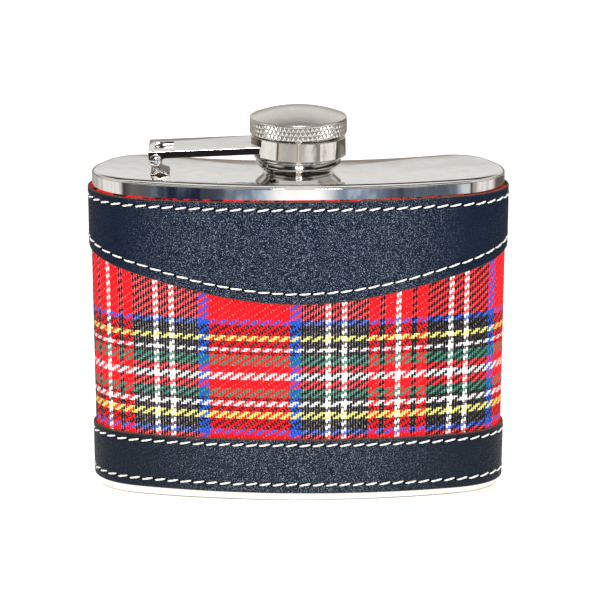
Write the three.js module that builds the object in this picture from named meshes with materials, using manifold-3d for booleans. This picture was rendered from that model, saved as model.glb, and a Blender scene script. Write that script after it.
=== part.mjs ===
// Hip flask: a bent steel body wrapped in tartan cloth and leather, with a screw cap held by a hinged arm.
// Millimetres, +Z up, the convex front faces -Y, the concave back faces +Y, the arm's hinge is at -X.
import * as THREE from "three";
import Module from "manifold-3d";

const wasm = await Module();
wasm.setup();

// Overall sizes
const TOP_WIDTH = 92.4; // steel body, widest, just under the shoulder
const BASE_WIDTH = TOP_WIDTH - 2.4; // steel body at the standing rim
const THICKNESS = 26; // front to back, square to the curve
const BEND_RADIUS = 102; // of the body's middle surface, round a hip
const BODY_HEIGHT = 73.7; // standing rim to shoulder plate
const FRONT_CORNER = 13; // plan radius where the front turns into the end
const BACK_CORNER = 8.5; // plan radius where the end turns into the back

// Steel sheet
const SHEET = 0.6;
const RIM_ROUND = 0.95; // the shoulder plate's turned-down edge
const BASE_DEPTH = 1.6; // the base pan's side
const STANDING_RIM = 3.4; // width of the flat ring the flask stands on
const BASE_RECESS = 0.8;

// Skins, measured out from the steel
const CLOTH_IN = 0.05;
const CLOTH_OUT = 0.4;
const LEATHER_IN = CLOTH_OUT + 0.05;
const LEATHER_OUT = LEATHER_IN + 0.5;
const THREAD_IN = LEATHER_OUT + 0.03;
const THREAD_OUT = THREAD_IN + 0.22;
const SEAM_GAP = 0.3; // butt seam up the middle of the back

// Heights of the skins above the standing rim
const CLOTH_TOP = BODY_HEIGHT - 3.3;
const UPPER_TOP = BODY_HEIGHT - 3.65;
const FLAP_LOW = BODY_HEIGHT * 0.6323; // the upper band's lower edge, at the middle of the front
const FLAP_RISE = 11.93; // how far that edge would climb in half a wave
const FLAP_WAVE = 150; // length of that wave along the front
const FLAP_REACH = 57; // past this the edge runs level round the back
const LOWER_TOP = 15.65;
const LOWER_BOTTOM = BASE_DEPTH + 1.5;
const UNDERLAP = 1.2; // how far the cloth stops short of the lower band's bottom edge
const EDGE_INSET = 1.95; // first stitch row below the upper band's top edge
const FLAP_INSET = 2.45; // second stitch row above the flap's edge
const LOWER_INSET = 1.5; // third stitch row below the lower band's top edge
const BOTTOM_INSET = 2.1; // fourth stitch row above the lower band's bottom edge
const THREAD_WIDTH = 0.5;
const STITCH_SLANT = 0.3; // each stitch rises this much to either side of its row

// Neck, radii
const NECK_OUT = 6.9;
const NECK_BORE = NECK_OUT - 0.9;
const RIDGE = 0.5; // radius of the rolled thread's round ridge
const RIDGE_OUT = NECK_OUT + 0.4; // crest of the neck's thread
const RIDGE_PITCH = 2.2;
const FOOT_OUT = NECK_OUT + 1;
const SEAT_OUT = NECK_OUT + 2.7; // the flared seat the cap comes down to

// Cap and collar, radii
const CREST_IN = NECK_OUT + 1.1; // crest of the cap's thread
const SLEEVE_IN = CREST_IN + 0.3;
const SLEEVE_OUT = SLEEVE_IN + 0.6;
const PRESS_GAP = 0.04; // round the sleeve, where the crown and the retainer are pressed on
const RETAINER_OUT = SLEEVE_OUT + 0.9;
const COLLAR_IN = SLEEVE_OUT + 0.3;
const COLLAR_OUT_TOP = COLLAR_IN + 1.45;
const COLLAR_OUT_LOW = COLLAR_IN + 1.65;
const COLLAR_FLATS = 14;
const COLLAR_TILT = 1.5; // degrees, the loose collar hangs lower on the side away from the hinge
const CROWN_OUT = SLEEVE_OUT + 1.9;

// Neck and cap, heights above the shoulder plate
const NECK_TAIL = 2.4; // below the plate's top face
const SEAT_LOW = 2.3;
const SEAT_TOP = SEAT_LOW + 1.1;
const SLEEVE_LOW = SEAT_TOP + 0.2;
const RETAINER_HEIGHT = 0.4;
const COLLAR_LOW = SLEEVE_LOW + RETAINER_HEIGHT + 0.4;
const COLLAR_TOP = COLLAR_LOW + 4.2;
const CROWN_LOW = COLLAR_TOP + 0.45;
const NECK_TOP = CROWN_LOW + 0.95;
const GASKET_LOW = NECK_TOP + 0.05;
const SLEEVE_TOP = GASKET_LOW + 1.35;
const CROWN_BAND = CROWN_LOW + 2.95; // top of the knurled band
const CROWN_EDGE = CROWN_BAND + 0.75; // top of the smooth band above the knurl
const DOME_RISE = 2.1;
const CROWN_APEX = CROWN_EDGE + DOME_RISE;

// Arm, hinge pin and lug
const PIN_X = 14.6 - TOP_WIDTH / 2;
const PIN_Z = 4.0; // above the shoulder plate
const PIN_RADIUS = 0.8;
const PIN_PLAY = 0.05;
const HEAD_RADIUS = PIN_RADIUS + 0.62;
const HEAD_THICK = 0.5;
const LUG_STRIP = 0.55;
const LUG_WIDTH = 6.3;
const LUG_EYE = PIN_RADIUS + LUG_STRIP;
const LUG_WAIST = 0.52;
const LUG_FOOT = 2.7;
const ARM_WIDTH = 13;
const ARM_SHEET = 0.55;
const ARM_OVER_PIN = LUG_EYE + ARM_SHEET + 0.15; // from the pin's axis to the arm's top face
const ARM_DEPTH = 1.7;
const ARM_RISE = 2.5; // degrees, the arm climbs from the hinge to the collar
const ARM_TAIL = 1.5; // past the pin
const EAR_RADIUS = PIN_RADIUS + 0.75;
const WINDOW_TAIL = 0.15; // the opening over the lug, from just short of the pin
const WINDOW_LENGTH = 4.1;
const WINDOW_WIDTH = LUG_WIDTH + 0.6;
const JOIN_GAP = 0.3;

// How finely the curves are cut
const FRONT_STEPS = 30;
const FRONT_CORNER_STEPS = 9;
const END_STEPS = 2;
const BACK_CORNER_STEPS = 6;
const BACK_STEPS = 26;
const ROUND_STEPS = 48;
const PIN_STEPS = 16;

// ---- Plan of the body ------------------------------------------------------------------------------
// The plan is a bar bent round an arc. A point of the straight bar is (s, t): s along the middle line,
// t towards the back. Bending it keeps the middle line's length.
function bend(s, t) {
  const angle = s / BEND_RADIUS;
  const reach = BEND_RADIUS - t;
  return [reach * Math.sin(angle), BEND_RADIUS - reach * Math.cos(angle)];
}

// Stations round the bar, from the middle of the back, over the left end, the front and the right end.
function makeStations() {
  const half = [];
  const quarter = Math.PI / 2;
  for (let i = 0; i <= BACK_STEPS / 2; i++) half.push({ run: i / (BACK_STEPS / 2), side: 1 });
  for (let i = 1; i <= BACK_CORNER_STEPS; i++)
    half.push({ run: 1, side: 1, turn: quarter * (1 - i / BACK_CORNER_STEPS) });
  for (let i = 1; i < END_STEPS; i++) half.push({ run: 1, side: 0, turn: i / END_STEPS });
  for (let i = 0; i < FRONT_CORNER_STEPS; i++)
    half.push({ run: 1, side: -1, turn: (quarter * i) / FRONT_CORNER_STEPS });
  for (let i = 0; i <= FRONT_STEPS / 2; i++) half.push({ run: 1 - i / (FRONT_STEPS / 2), side: -1 });
  const other = half.slice(1, -1).reverse();
  return [
    ...half.map((station) => ({ ...station, hand: -1 })),
    ...other.map((station) => ({ ...station, hand: 1 })),
  ];
}
const STATIONS = makeStations();

// The station's point on the plan, `out` mm outside the steel, for a bar of the given half length.
function planPoint(station, halfLength, out) {
  const corner = station.side > 0 ? BACK_CORNER : FRONT_CORNER;
  const edge = THICKNESS / 2;
  let s = (halfLength - corner) * station.run;
  let t = station.side * (edge + out);
  if (station.side === 0) {
    s = halfLength + out;
    t = THREE.MathUtils.lerp(edge - BACK_CORNER, FRONT_CORNER - edge, station.turn);
  } else if (station.turn !== undefined) {
    s += Math.cos(station.turn) * (corner + out);
    t = station.side * (edge - corner + Math.sin(station.turn) * (corner + out));
  }
  return bend(station.hand * s, t);
}

// The half length that gives the plan the wanted width.
function halfLengthFor(width) {
  let low = width / 4;
  let high = width;
  for (let i = 0; i < 40; i++) {
    const middle = (low + high) / 2;
    const widest = Math.max(...STATIONS.map((station) => planPoint(station, middle, 0)[0]));
    if (widest > width / 2) high = middle;
    else low = middle;
  }
  return low;
}
const BASE_HALF = halfLengthFor(BASE_WIDTH);
const TOP_HALF = halfLengthFor(TOP_WIDTH);
const halfLengthAt = (z) => THREE.MathUtils.lerp(BASE_HALF, TOP_HALF, z / BODY_HEIGHT);

// Distance along the front from its middle, for each station; the back counts on from the ends.
const along = STATIONS.map((station) => {
  const edge = (THICKNESS / 2 / BEND_RADIUS + 1) * (TOP_HALF - FRONT_CORNER);
  if (station.side < 0 && station.turn === undefined) return edge * station.run;
  if (station.side < 0) return edge + (Math.PI / 2 - station.turn) * FRONT_CORNER;
  return Infinity;
});

// ---- Solids ------------------------------------------------------------------------------------------
const WELD = 1e4; // corners within a ten-thousandth of a millimetre are one
function toManifold(geometry) {
  const position = geometry.getAttribute("position");
  const seen = new Map();
  const points = [];
  const triangles = [];
  const order = geometry.index ? geometry.index.array : [...Array(position.count).keys()];
  const corner = new THREE.Vector3();
  const ids = Array.from(order, (vertex) => {
    corner.fromBufferAttribute(position, vertex);
    const key = corner.toArray().map((value) => Math.round(value * WELD)).join();
    if (!seen.has(key)) {
      seen.set(key, points.length / 3);
      points.push(...corner.toArray());
    }
    return seen.get(key);
  });
  for (let i = 0; i < ids.length; i += 3) {
    const [a, b, c] = ids.slice(i, i + 3);
    if (a !== b && b !== c && c !== a) triangles.push(a, b, c);
  }
  return new wasm.Manifold(
    new wasm.Mesh({
      numProp: 3,
      vertProperties: new Float32Array(points),
      triVerts: new Uint32Array(triangles),
    }),
  );
}

function toGeometry(manifold) {
  const mesh = manifold.getMesh();
  const geometry = new THREE.BufferGeometry();
  geometry.setAttribute("position", new THREE.BufferAttribute(new Float32Array(mesh.vertProperties), 3));
  geometry.setIndex(new THREE.BufferAttribute(new Uint32Array(mesh.triVerts), 1));
  return geometry;
}

// A closed section swept round the body: each corner of the section is [out, z], or, where it lies on
// a circle about the neck's axis, [radius, z, "circle"]. A lathe gives the skin, then bends to the plan.
function sweepRoundBody(section) {
  const ring = [...section, section[0]];
  const geometry = new THREE.LatheGeometry(
    ring.map((corner, i) => new THREE.Vector2(1, i)),
    STATIONS.length,
  );
  const position = geometry.getAttribute("position");
  for (let i = 0; i < position.count; i++) {
    const station = STATIONS[Math.floor(i / ring.length) % STATIONS.length];
    const [out, z, shape] = ring[i % ring.length];
    let [x, y] = planPoint(station, halfLengthAt(z), shape === "circle" ? 0 : out);
    if (shape === "circle") {
      const length = Math.hypot(x, y);
      x *= out / length;
      y *= out / length;
    }
    position.setXYZ(i, x, y, z);
  }
  return geometry;
}

// A strip wrapped round the body with a butt seam at the back. `low` and `high` give its edges' heights
// at each station.
function wrapRoundBody(inner, outer, low, high, rows = 1) {
  const count = STATIONS.length;
  const geometry = new THREE.BoxGeometry(1, 1, 1, count, 1, rows);
  const position = geometry.getAttribute("position");
  for (let i = 0; i < position.count; i++) {
    const index = Math.round((position.getX(i) + 0.5) * count);
    const station = STATIONS[index % count];
    const out = position.getY(i) < 0 ? outer : inner;
    const z = THREE.MathUtils.lerp(low(index % count), high(index % count), position.getZ(i) + 0.5);
    const [x, y] = planPoint(station, halfLengthAt(z), out);
    const seam = index === 0 ? -SEAM_GAP / 2 : index === count ? SEAM_GAP / 2 : 0;
    position.setXYZ(i, x + seam, y, z);
  }
  return geometry;
}

// A turned solid about the neck's axis; the section's heights are above the shoulder plate.
function turned(section, steps = ROUND_STEPS) {
  const ring = [...section, section[0]];
  const geometry = new THREE.LatheGeometry(
    ring.map(([radius, z]) => new THREE.Vector2(radius, z)),
    steps,
  );
  geometry.rotateX(Math.PI / 2);
  geometry.translate(0, 0, BODY_HEIGHT);
  return geometry;
}

// A rolled thread's ridge: a round bar along a helix.
function ridge(radius, low, turns) {
  class Helix extends THREE.Curve {
    getPoint(t, target = new THREE.Vector3()) {
      const angle = 2 * Math.PI * turns * t;
      const z = BODY_HEIGHT + low + RIDGE_PITCH * turns * t;
      return target.set(radius * Math.cos(angle), radius * Math.sin(angle), z);
    }
  }
  const section = new THREE.Shape();
  section.absarc(0, 0, RIDGE, 0, 2 * Math.PI, false);
  return new THREE.ExtrudeGeometry(section, {
    steps: Math.round(24 * turns),
    extrudePath: new Helix(),
    curveSegments: 2,
    bevelEnabled: false,
  });
}

// ---- Materials ---------------------------------------------------------------------------------------
const POLISHED_STEEL = { color: 0xd8dadd, metalness: 1, roughness: 0.12 };
const SATIN_STEEL = { color: 0xcfd1d4, metalness: 1, roughness: 0.32 };
const NAVY_LEATHER = { color: 0x1c2a45, metalness: 0, roughness: 0.55 };
const RED_TARTAN = { color: 0xa3202a, metalness: 0, roughness: 0.9 };
const WHITE_THREAD = { color: 0xe9e7e2, metalness: 0, roughness: 0.8 };
const GREY_RUBBER = { color: 0x8f8f8b, metalness: 0, roughness: 0.7 };

const flask = new THREE.Group();
flask.name = "hip_flask";

function add(name, geometry, look) {
  const mesh = new THREE.Mesh(geometry, new THREE.MeshStandardMaterial(look));
  mesh.name = name;
  geometry.computeVertexNormals();
  flask.add(mesh);
}

// ---- Steel body --------------------------------------------------------------------------------------
const sideTop = BODY_HEIGHT - RIM_ROUND;

// Side wall: one sheet rolled into a sleeve.
add(
  "body_sleeve",
  sweepRoundBody([
    [0, BASE_DEPTH],
    [0, sideTop],
    [-SHEET, sideTop],
    [-SHEET, BASE_DEPTH],
  ]),
  POLISHED_STEEL,
);

// Shoulder plate: a flat sheet, its edge turned down onto the sleeve, with a round hole for the neck.
const rim = [];
const RIM_STEPS = 3;
for (let i = 0; i <= RIM_STEPS; i++) {
  const angle = ((Math.PI / 2) * i) / RIM_STEPS;
  rim.push([RIM_ROUND * (Math.cos(angle) - 1), sideTop + RIM_ROUND * Math.sin(angle)]);
}
add(
  "shoulder_plate",
  sweepRoundBody([
    ...rim,
    [NECK_OUT + PIN_PLAY, BODY_HEIGHT, "circle"],
    [NECK_OUT + PIN_PLAY, BODY_HEIGHT - SHEET, "circle"],
    [-RIM_ROUND, BODY_HEIGHT - SHEET],
    [-SHEET, sideTop],
  ]),
  POLISHED_STEEL,
);

// Base pan: a standing rim round a shallow recess, its side turned up to the sleeve.
add(
  "base_pan",
  sweepRoundBody([
    [-0.4, 0],
    [0, 0.4],
    [0, BASE_DEPTH],
    [-SHEET, BASE_DEPTH],
    [-SHEET, SHEET],
    [-STANDING_RIM - SHEET, SHEET],
    [-STANDING_RIM - 2 * SHEET, SHEET + BASE_RECESS],
    [0, SHEET + BASE_RECESS, "circle"],
    [0, BASE_RECESS, "circle"],
    [-STANDING_RIM - SHEET, BASE_RECESS],
    [-STANDING_RIM, 0],
  ]),
  POLISHED_STEEL,
);

// ---- Skins -------------------------------------------------------------------------------------------
// Height of the second stitch row: lowest at the middle of the front, climbing to both ends.
function flapRow(index) {
  const s = Math.min(along[index], FLAP_REACH);
  const climb = (FLAP_RISE / 2) * (1 - Math.cos((2 * Math.PI * s) / FLAP_WAVE));
  return FLAP_LOW + FLAP_INSET + climb;
}

add(
  "tartan_wrap",
  wrapRoundBody(
    CLOTH_IN,
    CLOTH_OUT,
    () => LOWER_BOTTOM + UNDERLAP,
    () => CLOTH_TOP,
    2,
  ),
  RED_TARTAN,
);
add(
  "upper_band",
  wrapRoundBody(
    LEATHER_IN,
    LEATHER_OUT,
    (index) => flapRow(index) - FLAP_INSET,
    () => UPPER_TOP,
  ),
  NAVY_LEATHER,
);
add(
  "lower_band",
  wrapRoundBody(
    LEATHER_IN,
    LEATHER_OUT,
    () => LOWER_BOTTOM,
    () => LOWER_TOP,
  ),
  NAVY_LEATHER,
);

// Each stitch row is one thread, slanting up along a stitch and dropping back to start the next.
const STITCH_ROWS = {
  thread_top_edge: () => UPPER_TOP - EDGE_INSET,
  thread_flap: flapRow,
  thread_lower_top: () => LOWER_TOP - LOWER_INSET,
  thread_lower_edge: () => LOWER_BOTTOM + BOTTOM_INSET,
};
for (const [name, row] of Object.entries(STITCH_ROWS)) {
  const middle = (index) => row(index) + (index % 2 ? STITCH_SLANT : -STITCH_SLANT);
  add(
    name,
    wrapRoundBody(
      THREAD_IN,
      THREAD_OUT,
      (index) => middle(index) - THREAD_WIDTH / 2,
      (index) => middle(index) + THREAD_WIDTH / 2,
    ),
    WHITE_THREAD,
  );
}

// ---- Neck --------------------------------------------------------------------------------------------
const neckTube = turned([
  [NECK_BORE, -NECK_TAIL],
  [NECK_OUT, -NECK_TAIL],
  [NECK_OUT, 0],
  [FOOT_OUT, 0],
  [FOOT_OUT - 0.1, 0.3],
  [SEAT_OUT, SEAT_LOW],
  [SEAT_OUT - 0.25, SEAT_TOP],
  [NECK_OUT, SEAT_TOP],
  [NECK_OUT, NECK_TOP - 0.4],
  [NECK_OUT - 0.35, NECK_TOP],
  [NECK_BORE, NECK_TOP],
]);
const NECK_TURNS = 2.25;
const neckRidge = ridge(RIDGE_OUT - RIDGE, SEAT_TOP + RIDGE + 0.5, NECK_TURNS);
const neck = toManifold(neckTube)
  .add(toManifold(neckRidge))
  .subtract(toManifold(turned([[0, 0], [NECK_BORE, 0], [NECK_BORE, NECK_TOP], [0, NECK_TOP]])));
add("neck", toGeometry(neck), POLISHED_STEEL);

// ---- Hinge lug, pin and arm --------------------------------------------------------------------------
// Lug: a strip folded round the pin, pinched below it, its two ends spread and welded to the plate.
const lugShape = new THREE.Shape();
const pinchAngle = Math.asin(LUG_WAIST / LUG_EYE);
const waistZ = PIN_Z - LUG_EYE * Math.cos(pinchAngle);
lugShape.moveTo(LUG_FOOT, 0);
lugShape.lineTo(LUG_FOOT - 0.1, LUG_STRIP);
lugShape.lineTo(LUG_WAIST + 0.5, LUG_STRIP + 1.0);
lugShape.lineTo(LUG_WAIST, waistZ);
lugShape.absarc(0, PIN_Z, LUG_EYE, pinchAngle - Math.PI / 2, 1.5 * Math.PI - pinchAngle, false);
lugShape.lineTo(-LUG_WAIST - 0.5, LUG_STRIP + 1.0);
lugShape.lineTo(-LUG_FOOT + 0.1, LUG_STRIP);
lugShape.lineTo(-LUG_FOOT, 0);
lugShape.lineTo(-LUG_FOOT + 1.1, 0);
lugShape.lineTo(0, LUG_STRIP + 0.9);
lugShape.lineTo(LUG_FOOT - 1.1, 0);
const eyeHole = new THREE.Path();
eyeHole.absarc(0, PIN_Z, PIN_RADIUS + PIN_PLAY, 0, 2 * Math.PI, true);
lugShape.holes.push(eyeHole);
const lug = new THREE.ExtrudeGeometry(lugShape, { depth: LUG_WIDTH, bevelEnabled: false, curveSegments: 14 });
lug.rotateX(Math.PI / 2);
lug.translate(PIN_X, LUG_WIDTH / 2, BODY_HEIGHT);
add("hinge_lug", lug, POLISHED_STEEL);

// Pin: a short shaft with a round head peened over each flange of the arm.
const pinHalf = ARM_WIDTH / 2 + PIN_PLAY;
const pin = new THREE.LatheGeometry(
  [
    [0, -pinHalf - HEAD_THICK],
    [HEAD_RADIUS - 0.35, -pinHalf - HEAD_THICK],
    [HEAD_RADIUS, -pinHalf - HEAD_THICK + 0.25],
    [HEAD_RADIUS, -pinHalf],
    [PIN_RADIUS, -pinHalf],
    [PIN_RADIUS, pinHalf],
    [HEAD_RADIUS, pinHalf],
    [HEAD_RADIUS, pinHalf + HEAD_THICK - 0.25],
    [HEAD_RADIUS - 0.35, pinHalf + HEAD_THICK],
    [0, pinHalf + HEAD_THICK],
  ].map(([radius, y]) => new THREE.Vector2(radius, y)),
  PIN_STEPS,
);
pin.translate(PIN_X, 0, BODY_HEIGHT + PIN_Z);
add("hinge_pin", pin, SATIN_STEEL);

// Arm: a channel with its flanges down, an ear round each end of the pin, open over the lug, cut to fit
// the collar. It is made with the pin's axis at the origin, then tipped and moved to the hinge.
function crossRod(radius, width) {
  return toManifold(new THREE.CylinderGeometry(radius, radius, width, PIN_STEPS));
}
function block(fromX, toX, width, lowZ, highZ) {
  const geometry = new THREE.BoxGeometry(toX - fromX, width, highZ - lowZ);
  geometry.translate((fromX + toX) / 2, 0, (lowZ + highZ) / 2);
  return toManifold(geometry);
}
const armInside = ARM_OVER_PIN - ARM_SHEET;
const armSolid = block(-ARM_TAIL, -PIN_X, ARM_WIDTH, ARM_OVER_PIN - ARM_DEPTH, ARM_OVER_PIN)
  .add(crossRod(EAR_RADIUS, ARM_WIDTH))
  .subtract(block(-2 * ARM_TAIL, -PIN_X + 1, ARM_WIDTH - 2 * ARM_SHEET, -2 * ARM_DEPTH, armInside))
  .subtract(block(-WINDOW_TAIL, WINDOW_LENGTH - WINDOW_TAIL, WINDOW_WIDTH, 0, 2 * ARM_OVER_PIN))
  .subtract(crossRod(PIN_RADIUS + PIN_PLAY, 2 * ARM_WIDTH))
  .rotate([0, -ARM_RISE, 0])
  .translate([PIN_X, 0, BODY_HEIGHT + PIN_Z]);

function collarPrism(extra) {
  const height = COLLAR_TOP - COLLAR_LOW;
  const prism = new THREE.CylinderGeometry(
    COLLAR_OUT_TOP + extra,
    COLLAR_OUT_LOW + extra,
    height + 2 * extra,
    COLLAR_FLATS,
  );
  prism.rotateX(Math.PI / 2);
  return toManifold(prism);
}
function atCollar(manifold) {
  const middle = BODY_HEIGHT + (COLLAR_LOW + COLLAR_TOP) / 2;
  return manifold.rotate([0, COLLAR_TILT, 0]).translate([0, 0, middle]);
}
const armCut = armSolid.subtract(atCollar(collarPrism(JOIN_GAP)));
add("cap_arm", toGeometry(armCut), POLISHED_STEEL);

// Collar: a faceted ring at the arm's end, the cap turns in it.
const collarBore = new THREE.CylinderGeometry(COLLAR_IN, COLLAR_IN, 2 * COLLAR_TOP, ROUND_STEPS);
collarBore.rotateX(Math.PI / 2);
const collar = atCollar(collarPrism(0).subtract(toManifold(collarBore)));
add("cap_collar", toGeometry(collar), POLISHED_STEEL);

// ---- Cap ---------------------------------------------------------------------------------------------
// Crown: a shallow lid with a knurled side, a smooth edge and a domed top.
const domeFoot = CROWN_OUT - 0.25;
const dome = [1, 0.82, 0.62, 0.42, 0.22].map((share) => [
  domeFoot * share,
  CROWN_APEX - DOME_RISE * share * share,
]);
add(
  "cap_crown",
  turned([
    [SLEEVE_OUT + PRESS_GAP, CROWN_LOW],
    [CROWN_OUT - 0.2, CROWN_LOW],
    [CROWN_OUT, CROWN_LOW + 0.2],
    [CROWN_OUT, CROWN_BAND],
    [CROWN_OUT - 0.1, CROWN_BAND + 0.1],
    [CROWN_OUT - 0.1, CROWN_EDGE - 0.2],
    ...dome,
    [0, CROWN_APEX],
    [0, SLEEVE_TOP + 0.05],
    [SLEEVE_OUT + PRESS_GAP, SLEEVE_TOP + 0.05],
  ]),
  SATIN_STEEL,
);

// Sleeve: the threaded insert that passes down through the collar.
const CAP_TURNS = 1.75;
const sleeveTube = turned([
  [SLEEVE_IN, SLEEVE_LOW],
  [SLEEVE_OUT, SLEEVE_LOW],
  [SLEEVE_OUT, SLEEVE_TOP],
  [SLEEVE_IN, SLEEVE_TOP],
]);
const sleeveShell = turned([
  [SLEEVE_IN - 1, SLEEVE_LOW],
  [SLEEVE_OUT - 0.2, SLEEVE_LOW],
  [SLEEVE_OUT - 0.2, SLEEVE_TOP],
  [SLEEVE_IN - 1, SLEEVE_TOP],
]);
const sleeveRidge = toManifold(ridge(CREST_IN + RIDGE, SLEEVE_LOW + RIDGE + 1.2, CAP_TURNS));
const sleeve = toManifold(sleeveTube).add(sleeveRidge.intersect(toManifold(sleeveShell)));
add("cap_sleeve", toGeometry(sleeve), SATIN_STEEL);

// Retainer: a ring pressed on below the collar, so that the cap can turn but not come out.
add(
  "cap_retainer",
  turned([
    [SLEEVE_OUT + PRESS_GAP, SLEEVE_LOW],
    [RETAINER_OUT, SLEEVE_LOW],
    [RETAINER_OUT, SLEEVE_LOW + RETAINER_HEIGHT],
    [SLEEVE_OUT + PRESS_GAP, SLEEVE_LOW + RETAINER_HEIGHT],
  ]),
  SATIN_STEEL,
);

// Gasket: the disc that seals on the neck's rim.
add(
  "cap_gasket",
  turned([
    [0, GASKET_LOW],
    [SLEEVE_IN - 0.1, GASKET_LOW],
    [SLEEVE_IN - 0.1, SLEEVE_TOP],
    [0, SLEEVE_TOP],
  ]),
  GREY_RUBBER,
);

// The neck's axis is x = y = 0 up to here; the whole part is then centred on the origin front to back.
const bounds = new THREE.Box3().setFromObject(flask);
flask.position.y = -(bounds.min.y + bounds.max.y) / 2;

export default flask;
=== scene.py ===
# %% [markdown]
# # A tartan and leather hip flask
# The flask is a bent steel bottle in a glued-on jacket of tartan cloth and navy leather. Its cap stays
# with it: a hinged arm carries a collar, and the cap turns in that collar. The engineering model gives
# every size and every moving body, so it is loaded first and each piece made here is laid over it.

# %% Load the frame
import math
import random
import bpy
import bmesh
import numpy as np
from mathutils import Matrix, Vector, noise


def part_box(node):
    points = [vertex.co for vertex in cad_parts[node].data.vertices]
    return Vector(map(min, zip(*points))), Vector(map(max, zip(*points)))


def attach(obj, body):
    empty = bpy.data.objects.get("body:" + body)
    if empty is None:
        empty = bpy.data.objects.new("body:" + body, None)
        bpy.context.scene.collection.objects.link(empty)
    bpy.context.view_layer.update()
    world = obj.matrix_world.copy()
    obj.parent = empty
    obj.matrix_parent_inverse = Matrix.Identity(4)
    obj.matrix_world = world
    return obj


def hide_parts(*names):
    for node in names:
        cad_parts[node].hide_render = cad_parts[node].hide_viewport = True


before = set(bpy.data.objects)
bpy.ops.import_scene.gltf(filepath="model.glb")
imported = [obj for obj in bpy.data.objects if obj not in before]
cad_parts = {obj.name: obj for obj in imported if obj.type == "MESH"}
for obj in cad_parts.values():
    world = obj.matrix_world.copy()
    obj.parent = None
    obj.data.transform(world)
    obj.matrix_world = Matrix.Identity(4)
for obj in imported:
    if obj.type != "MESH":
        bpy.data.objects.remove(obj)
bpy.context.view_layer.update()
MM = 0.001
neck_low, neck_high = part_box("neck")
NECK_Y = (neck_low.y + neck_high.y) / 2
PLATE_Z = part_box("shoulder_plate")[1].z / MM

# %% [markdown]
# ## Camera
# A long lens from 14 degrees above the table, square on to the convex front, shows the shoulder plate as
# a thin bright lens shape. The distance is real, because it sets how much the far edge shrinks.

# %% Camera
CAMERA_ELEVATION = math.radians(13.98)
CAMERA_DISTANCE = 1.2
LENS_MM = 321.6
TARGET = Vector((0.00038, NECK_Y, 0.0443))
toward_camera = Vector((0, -math.cos(CAMERA_ELEVATION), math.sin(CAMERA_ELEVATION)))
camera_data = bpy.data.cameras.new("camera")
camera_data.lens = LENS_MM
camera_data.sensor_width = 36
camera = bpy.data.objects.new("camera", camera_data)
bpy.context.collection.objects.link(camera)
camera.location = TARGET + toward_camera * CAMERA_DISTANCE
camera.rotation_mode = "QUATERNION"
camera.rotation_quaternion = (-toward_camera).to_track_quat("-Z", "Y")
bpy.context.scene.camera = camera
print("camera at", [round(v, 3) for v in camera.location])

# %% [markdown]
# ## Writing shaders as sums
# Node trees are easier to read as arithmetic. A Signal wraps one socket, so `1 - mask` or `a * 0.5 + b`
# adds the Math nodes itself. Colours go through Mix nodes, because a Math node would turn them grey.

# %% Signal and Finish
class Signal:
    """A number, colour or vector that one socket of a node tree gives."""

    def __init__(self, finish, socket):
        self.finish = finish
        self.socket = socket

    def _math(self, operation, a, b):
        return self.finish.node("Math", {"operation": operation}, {0: a, 1: b})

    def __add__(self, other):
        return self._math("ADD", self, other)

    def __radd__(self, other):
        return self._math("ADD", other, self)

    def __sub__(self, other):
        return self._math("SUBTRACT", self, other)

    def __rsub__(self, other):
        return self._math("SUBTRACT", other, self)

    def __mul__(self, other):
        return self._math("MULTIPLY", self, other)

    def __rmul__(self, other):
        return self._math("MULTIPLY", other, self)

    def __truediv__(self, other):
        return self._math("DIVIDE", self, other)

    def __rtruediv__(self, other):
        return self._math("DIVIDE", other, self)

    def __pow__(self, other):
        return self._math("POWER", self, other)

    def __gt__(self, other):
        return self._math("GREATER_THAN", self, other)

    def __lt__(self, other):
        return self._math("LESS_THAN", self, other)

    def floor(self):
        return self._math("FLOOR", self, 0)

    def wrap(self, period):
        """The remainder after whole periods, never negative."""
        return self.finish.node("Math", {"operation": "FLOORED_MODULO"}, {0: self, 1: period})

    def size(self):
        return self._math("ABSOLUTE", self, 0)

    def sine(self):
        return self._math("SINE", self, 0)

    def least(self, other):
        return self._math("MINIMUM", self, other)

    def most(self, other):
        return self._math("MAXIMUM", self, other)

    def ramp(self, low, high, start=0.0, end=1.0):
        """A smooth step from start to end as the signal goes from low to high."""
        settings = {"interpolation_type": "SMOOTHSTEP"}
        values = {"Value": self, "From Min": low, "From Max": high, "To Min": start, "To Max": end}
        return self.finish.node("MapRange", settings, values)


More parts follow.
